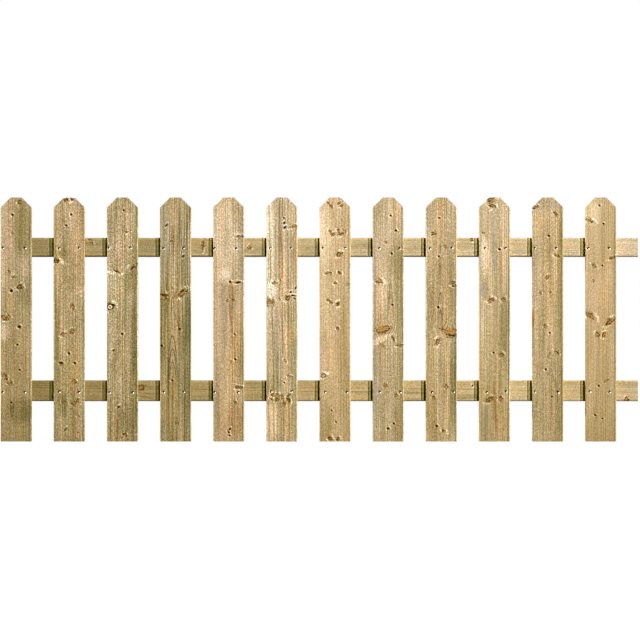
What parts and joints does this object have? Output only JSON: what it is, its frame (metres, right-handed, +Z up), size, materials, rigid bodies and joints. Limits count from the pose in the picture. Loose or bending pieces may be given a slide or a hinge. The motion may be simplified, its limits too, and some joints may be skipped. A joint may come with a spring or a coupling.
{
  "type": "picket fence panel",
  "caption": "Timber fence panel of spaced upright boards with cut top corners, nailed across a top and a bottom rail that fasten to posts.",
  "frame": {"origin": "middle of the bottom rail's back face, which lies against the posts", "axes": "+X along the panel from its flush end to its open end, +Y from the pickets' front to the rails' back, +Z up"},
  "size_m": [1.83, 0.052, 0.7],
  "materials": {
    "picket_wood": "planed softwood, green-tinted pressure treatment, unpainted",
    "rail_wood": "planed softwood, green-tinted pressure treatment, unpainted",
    "nail_steel": "dull galvanised nail heads"
  },
  "bodies": {
    "root": {"top_rail": "rail_wood", "bottom_rail": "rail_wood", "picket_01": "picket_wood", "picket_02": "picket_wood", "picket_03": "picket_wood", "picket_04": "picket_wood", "picket_05": "picket_wood", "picket_06": "picket_wood", "picket_07": "picket_wood", "picket_08": "picket_wood", "picket_09": "picket_wood", "picket_10": "picket_wood", "picket_11": "picket_wood", "picket_12": "picket_wood"}
  },
  "joints": []
}
